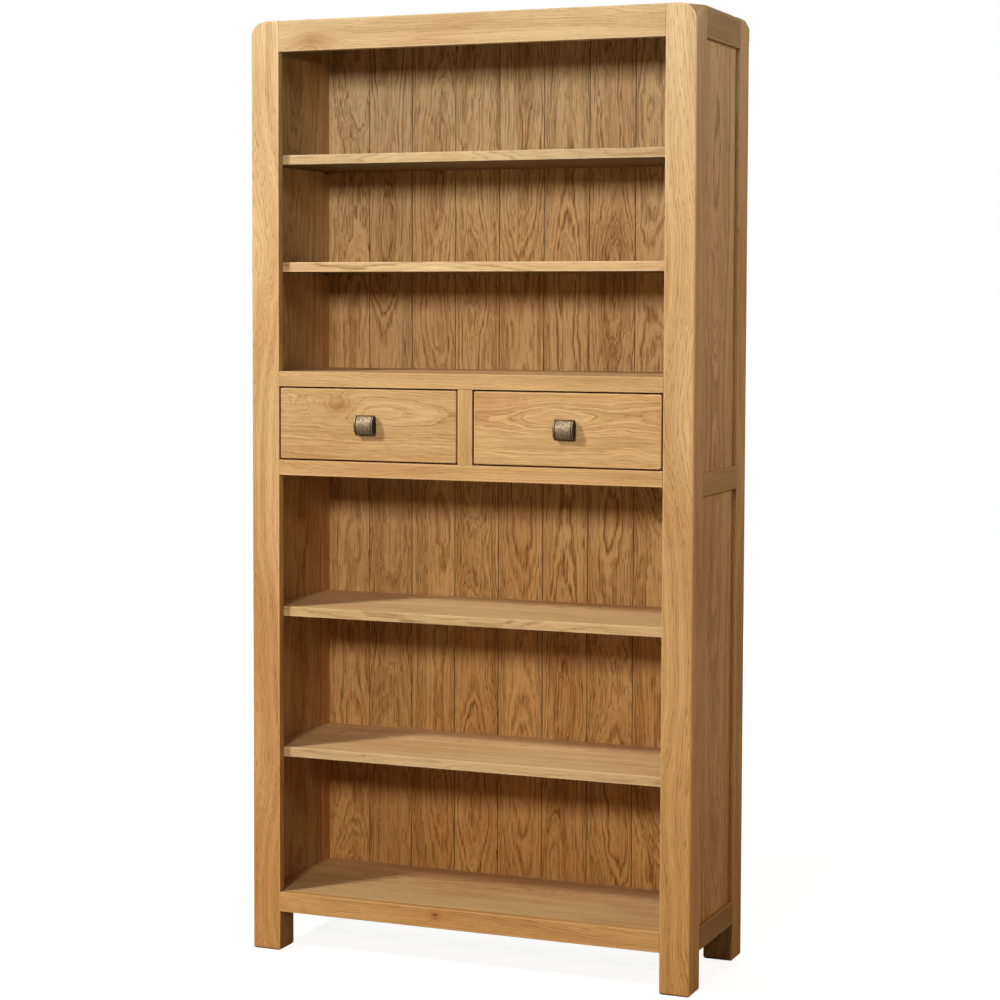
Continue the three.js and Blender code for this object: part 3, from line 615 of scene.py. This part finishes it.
POST = {"depth": 0.05, "taper": 0.012, "wander": 0.022, "slant": 0.12, "ring": 0.0028, "contrast": 0.70}
SIDE_RAIL = {"across": 0.08, "depth": 0.05, "wander": 0.02, "ring": 0.0030, "contrast": 0.56}
PANEL = {"depth": 0.09, "taper": 0.02, "wander": 0.04, "ring": 0.0034, "contrast": 0.95, "softness": 0.6}
DRAWER_FRONT = {"across": 0.02, "depth": 0.045, "taper": 0.02, "wander": 0.055, "ring": 0.0034,
                "contrast": 0.66, "jagged": 0.0016, "softness": 0.6}
RAIL = {"depth": 0.05, "ring": 0.0030, "contrast": 0.58}
FINE_RAIL = {"depth": 0.05, "ring": 0.0030, "contrast": 0.56}
REAR_RAIL = {"across": 0.05, "contrast": 0.62}
GUIDE = {"across": 0.06, "contrast": 0.6}
BOX = {"contrast": 0.6, "tone": 1.04}
# painted shade: the undersides of boards and shelves are made much darker
BOARD = {"across": 0.06, "depth": -0.05, "wander": 0.04, "contrast": 0.68, "under_painted_shade": 0.32}
BACK_BOARD = {"depth": 0.036, "taper": 0.015, "wander": 0.055, "ring": 0.0046, "contrast": 1.15,
              "jagged": 0.0060, "softness": 1.0, "tone": 1.08}

for side in SIDES:
    across, tone = POST_LOOKS[side]
    for row in ("front", "rear"):
        oak(f"post_{row}_{side}", "Z", "Y", **POST, across=across, tone=tone, has_pins=True)
    for level, tone in SIDE_RAIL_TONES.items():
        oak(f"rail_side_{level}_{side}", "Y", "X", **SIDE_RAIL, tone=tone)
    for level in ("upper", "lower"):
        tone, height = PANEL_LOOKS[level, side]
        oak(f"panel_side_{level}_{side}", "Z", "X", **PANEL, tone=tone, height=height)
    oak(f"guide_{side}", "Y", "X", **GUIDE)
    oak(f"stop_{side}", "X", "Z", **GUIDE)
    oak(f"drawer_{side}_front", "X", "Y", **DRAWER_FRONT, tone=DRAWER_TONES[side])
    for part in ("side_outer", "side_inner"):
        oak(f"drawer_{side}_{part}", "Y", "X", **BOX, across=0.05)
    oak(f"drawer_{side}_back", "X", "Y", **BOX, across=0.05)
    oak(f"drawer_{side}_bottom", "X", "Z", **BOX, depth=0.08)
oak("guide_centre", "Y", "X", **GUIDE)
oak("rail_front_top", "X", "Y", **FINE_RAIL, across=0.05, tone=1.02)
oak("rail_front_upper", "X", "Y", **RAIL, across=0.06, tone=1.01)
oak("rail_front_lower", "X", "Y", **RAIL, across=0.06, tone=1.10)
oak("rail_front_bottom", "X", "Y", **RAIL, across=0.05, tone=1.19, height=0.35)
oak("rail_rear_top", "X", "Y", **REAR_RAIL)
oak("rail_rear_bottom", "X", "Y", **REAR_RAIL)
oak("mullion", "Z", "Y", **FINE_RAIL, across=0.06, tone=1.08)
for name, (tone, height) in BOARD_LOOKS.items():
    oak(name, "X", "Z", **BOARD, tone=tone, height=height)
for number, (tone, edge_painted_shade, height) in enumerate(SHELF_LOOKS, 1):
    oak(f"shelf_{number}", "X", "Z", **BOARD, tone=tone, edge_painted_shade=edge_painted_shade, height=height)
for number in range(1, BACK_BOARDS + 1):
    oak(f"back_board_{number}", "Z", "Y", **BACK_BOARD, has_seams=True)


# Metal

PEWTER_DARK = linear("7b6850")
PEWTER_LIGHT = linear("a18d70")
PEWTER_SPECK = linear("4a3a26")
PEWTER_PATINA_AND_SHADE = linear("2e2113")
PEWTER_METALLIC = 0.8
PEWTER_RELIEF = {"Strength": 0.16, "Distance": 0.0005}
DENTS = {"Scale": 330.0, "Smoothness": 0.8}
# waves per metre, detail and roughness of the noises
PATCH_NOISE = (240.0, 4.0, 0.6)
SPECK_NOISE = (1400.0, 2.0, 0.5)
# for remap, as above: by noise, and by the distance from the knob's ends and from its long edges
PEWTER_PATCHES = (0.34, 0.66)
PEWTER_SPECKS = (0.52, 0.75, 0.0, 0.5)
PEWTER_ROUGHNESS = (0.3, 0.7, 0.68, 0.56)
GROOVE_BEGINS = (0.0020, 0.0028)
GROOVE_ENDS = (0.0040, 0.0050, 1.0, 0.0)
END_PATINA_AND_SHADE = (0.0002, 0.0008, 1.0, 0.0)
LONG_EDGE_PATINA_AND_SHADE = (0.0008, 0.0032, 1.0, 0.0)
PATINA_AND_SHADE_SHARE = 0.85
PATINA_AND_SHADE_ROUGHNESS = 0.25
PATCH_RELIEF = 0.4

STEEL_DARK = linear("8f8c86")
STEEL_LIGHT = linear("cfccc4")
STEEL_ROUGHNESS = (0.2, 0.8, 0.28, 0.45)
# waves per metre along x, y and z, and detail, of the marks round a screw
TURNING_MARKS = (120.0, 2600.0, 120.0)
TURNING_DETAIL = 2.0


def pewter(name):
    """Aged pewter, lightly hammered: patina brown in the grooves, and brown on the ends and along the long
    edges, partly patina and partly painted shade.
    """
    low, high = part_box(name)
    middle = (low + high) / 2
    material, net = new_material(name + "_pewter")
    position = net.add("ShaderNodeTexCoord").outputs["Object"]
    local = net.vector("SUBTRACT", position, tuple(middle))
    dents = net.add("ShaderNodeTexVoronoi", {**DENTS, "Vector": local}, feature="SMOOTH_F1").outputs[0]
    patches = net.noise(local, *PATCH_NOISE)[0]
    specks = net.noise(local, *SPECK_NOISE)[0]
    colour = net.mix(net.remap(patches, *PEWTER_PATCHES), PEWTER_DARK, PEWTER_LIGHT)
    colour = net.mix(net.remap(specks, *PEWTER_SPECKS), colour, PEWTER_SPECK)
    inset = net.split(net.vector("SUBTRACT", tuple((high - low) / 2), net.vector("ABSOLUTE", local)))
    groove = net.product(net.remap(inset[0], *GROOVE_BEGINS), net.remap(inset[0], *GROOVE_ENDS))
    # brown on the ends and the long edges: partly patina, partly painted shade
    edge = net.math("MAXIMUM", net.remap(inset[0], *END_PATINA_AND_SHADE), net.remap(inset[2], *LONG_EDGE_PATINA_AND_SHADE))
    brown = net.math("MAXIMUM", groove, edge)
    colour = net.mix(net.product(brown, PATINA_AND_SHADE_SHARE), colour, PEWTER_PATINA_AND_SHADE)
    roughness = net.total(net.remap(patches, *PEWTER_ROUGHNESS), net.product(brown, PATINA_AND_SHADE_ROUGHNESS))
    relief = net.total(dents, net.product(patches, PATCH_RELIEF))
    bump = net.add("ShaderNodeBump", {**PEWTER_RELIEF, "Height": relief})
    net.surface(net.add("ShaderNodeBsdfPrincipled", {
        "Base Color": colour, "Metallic": PEWTER_METALLIC,
        "Roughness": roughness, "Normal": bump.outputs[0]}))
    paint(name, material)


def steel(name):
    """Plain turned steel with fine marks round the shank."""
    low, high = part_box(name)
    material, net = new_material(name + "_steel")
    position = net.add("ShaderNodeTexCoord").outputs["Object"]
    local = net.vector("SUBTRACT", position, tuple((low + high) / 2))
    turned = net.vector("MULTIPLY", local, TURNING_MARKS)
    marks = net.noise(turned, 1.0, TURNING_DETAIL)[0]
    net.surface(net.add("ShaderNodeBsdfPrincipled", {
        "Base Color": net.mix(marks, STEEL_DARK, STEEL_LIGHT), "Metallic": 1.0,
        "Roughness": net.remap(marks, *STEEL_ROUGHNESS)}))
    paint(name, material)


for side in SIDES:
    pewter(f"drawer_{side}_knob")
    steel(f"drawer_{side}_screw")


# Upper side edges

# The round of the upper front corners fades out over the depth of the front posts, and a smaller one
# returns at the rear: distance behind the front of the posts, radius of the side's upper edge there.
EDGE_ROUNDS = ((0.005, 0.0398), (0.053, 0.003), (0.315, 0.004), (0.3437, 0.020))
# radius of the round of the solids, and how far the pieces reach into them
CORNER_RADIUS = 0.040
EDGE_BITE = 0.0005
EDGE_STATION_STEP = 0.008
ARC_STEPS = 14


def edge_radius(behind):
    for (start, first), (end, last) in zip(EDGE_ROUNDS, EDGE_ROUNDS[1:]):
        if behind <= end:
            share = (behind - start) / (end - start)
            return first + (last - first) * share
    return EDGE_ROUNDS[-1][1]


def quarter(steps):
    """Sine and cosine at the ends and between the equal steps of a quarter turn."""
    angles = [math.pi / 2 * step / steps for step in range(steps + 1)]
    return [(math.sin(angle), math.cos(angle)) for angle in angles]


def edge_section(half_width, top, radius):
    """Points (x, z) of one section: the tighter round outside, then the round of the solids inside."""
    outside = [(half_width - CORNER_RADIUS, top)]
    for sine, cosine in quarter(ARC_STEPS):
        outside.append((half_width - radius + radius * sine, top - radius + radius * cosine))
    outside.append((half_width, top - CORNER_RADIUS))
    sunk = CORNER_RADIUS - EDGE_BITE
    inside = [(half_width - CORNER_RADIUS + sunk * sine, top - CORNER_RADIUS + sunk * cosine)
              for sine, cosine in quarter(len(outside) - 1)]
    return outside + inside


def strip_faces(count, stations):
    """Faces of a bar whose sections have count points outside and count inside, closed at both ends."""
    ring = 2 * count
    last = ring * (stations - 1)
    faces = []
    for base in range(0, last, ring):
        for outer in range(base, base + count - 1):
            inner = outer + count
            faces.append((outer, outer + 1, outer + ring + 1, outer + ring))
            faces.append((inner + 1, inner, inner + ring, inner + ring + 1))
        for outer in (base, base + count - 1):
            inner = outer + count
            faces.append((outer, outer + ring, inner + ring, inner))
    for base in (0, last):
        for outer in range(base, base + count - 1):
            inner = outer + count
            faces.append((outer, outer + 1, inner + 1, inner))
    return faces


def top_edge(side):
    """Oak that fills the edge between a side and the top, in line with the posts and the rail below it."""
    turn = -1 if side == "left" else 1
    front_low, front_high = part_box(f"post_front_{side}")
    rear_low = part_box(f"post_rear_{side}")[0]
    half_width, top = max(abs(front_low.x), abs(front_high.x)), front_high.z
    start, end = EDGE_ROUNDS[0][0], EDGE_ROUNDS[-1][0]
    steps = round((end - start) / EDGE_STATION_STEP)
    stations = {start + (end - start) * step / steps for step in range(steps + 1)}
    stations |= {front_high.y - front_low.y, rear_low.y - front_low.y}
    sections = {behind: edge_section(half_width, top, edge_radius(behind)) for behind in sorted(stations)}
    points = [(turn * x, front_low.y + behind, z)
              for behind, section in sections.items() for x, z in section]
    count = len(points) // len(sections) // 2

    mesh = bpy.data.meshes.new(f"top_edge_{side}")
    mesh.from_pydata(points, [], strip_faces(count, len(sections)))
    shape = bmesh.new()
    shape.from_mesh(mesh)
    bmesh.ops.recalc_face_normals(shape, faces=shape.faces)
    shape.to_mesh(mesh)
    shape.free()
    for neighbour in (f"post_front_{side}", f"rail_side_top_{side}", f"post_rear_{side}"):
        mesh.materials.append(nodes[neighbour].data.materials[0])
    for face in mesh.polygons:
        face.material_index = (face.center.y > front_high.y) + (face.center.y > rear_low.y)
    piece = bpy.data.objects.new(f"top_edge_{side}", mesh)
    bpy.context.scene.collection.objects.link(piece)
    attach(piece, "carcass")
    return piece


edge_pieces = [top_edge(side) for side in SIDES]


# Smooth shading over the rounded edges

WELD_DISTANCE = 0.00001
SMOOTH_BELOW = math.radians(38)
FLAT_FACE_WEIGHT = 100

for node in list(nodes.values()) + edge_pieces:
    mesh = node.data
    if "custom_normal" in mesh.attributes:
        mesh.attributes.remove(mesh.attributes["custom_normal"])
    mesh.shade_smooth()
    weld = node.modifiers.new("weld", "WELD")
    weld.merge_threshold = WELD_DISTANCE
    edges = node.modifiers.new("sharp_edges", "EDGE_SPLIT")
    edges.split_angle = SMOOTH_BELOW
    edges.use_edge_sharp = False
    normals = node.modifiers.new("flat_faces_stay_flat", "WEIGHTED_NORMAL")
    normals.mode = "FACE_AREA"
    normals.weight = FLAT_FACE_WEIGHT

# Floor and surroundings

WHITE = (1, 1, 1, 1)
FLOOR_HALF = 30.0
FLOOR_COLOUR = linear("87817a")
# distances from the case between which the floor's glow rises, and its first and last strength
FLOOR_GLOW = (1.6, 3.2, 0.90, 1.0)
SURROUND_STRENGTH = 0.01
REFLECTED_FLOOR = 0.07
REFLECTED_CEILING = 1.7


def seen(net, reflected):
    """1 for rays from the camera and for refracted ones, and the given share for reflected ones."""
    path = net.add("ShaderNodeLightPath").outputs
    glossy = net.product(path["Is Glossy Ray"], reflected)
    shown = net.math("MAXIMUM", path["Is Camera Ray"], glossy)
    return net.math("MAXIMUM", shown, path["Is Transmission Ray"])


def make_floor():
    mesh = bpy.data.meshes.new("floor")
    corners = [(x * FLOOR_HALF, y * FLOOR_HALF, 0) for x, y in ((-1, -1), (1, -1), (1, 1), (-1, 1))]
    mesh.from_pydata(corners, [], [(0, 1, 2, 3)])
    floor = bpy.data.objects.new("floor", mesh)
    bpy.context.scene.collection.objects.link(floor)
    material, net = new_material("pale_floor")
    matt = net.add("ShaderNodeBsdfDiffuse", {"Color": FLOOR_COLOUR})
    away = net.vector("LENGTH", net.add("ShaderNodeTexCoord").outputs["Object"])
    glow = net.add("ShaderNodeEmission", {"Color": WHITE, "Strength": net.remap(away, *FLOOR_GLOW)})
    both = net.add("ShaderNodeAddShader", {0: matt.outputs[0], 1: glow.outputs[0]})
    net.surface(net.add("ShaderNodeMixShader", {
        0: seen(net, REFLECTED_FLOOR), 1: matt.outputs[0], 2: both.outputs[0]}))
    mesh.materials.append(material)


make_floor()

world = bpy.data.worlds.new("studio")
world.use_nodes = True
world.node_tree.nodes.clear()
net = Nodes(world.node_tree)
upward = net.split(net.add("ShaderNodeTexCoord").outputs["Generated"])[2]
steep = net.product(upward, net.math("ABSOLUTE", upward))
ceiling = net.remap(steep, 0.0, 1.0, REFLECTED_FLOOR, REFLECTED_CEILING, smooth=False)
strength = net.math("MAXIMUM", seen(net, ceiling), SURROUND_STRENGTH)
sky = net.add("ShaderNodeBackground", {"Color": WHITE, "Strength": strength})
net.add("ShaderNodeOutputWorld", {"Surface": sky.outputs[0]})
bpy.context.scene.world = world
bpy.context.scene.view_settings.view_transform = "Standard"
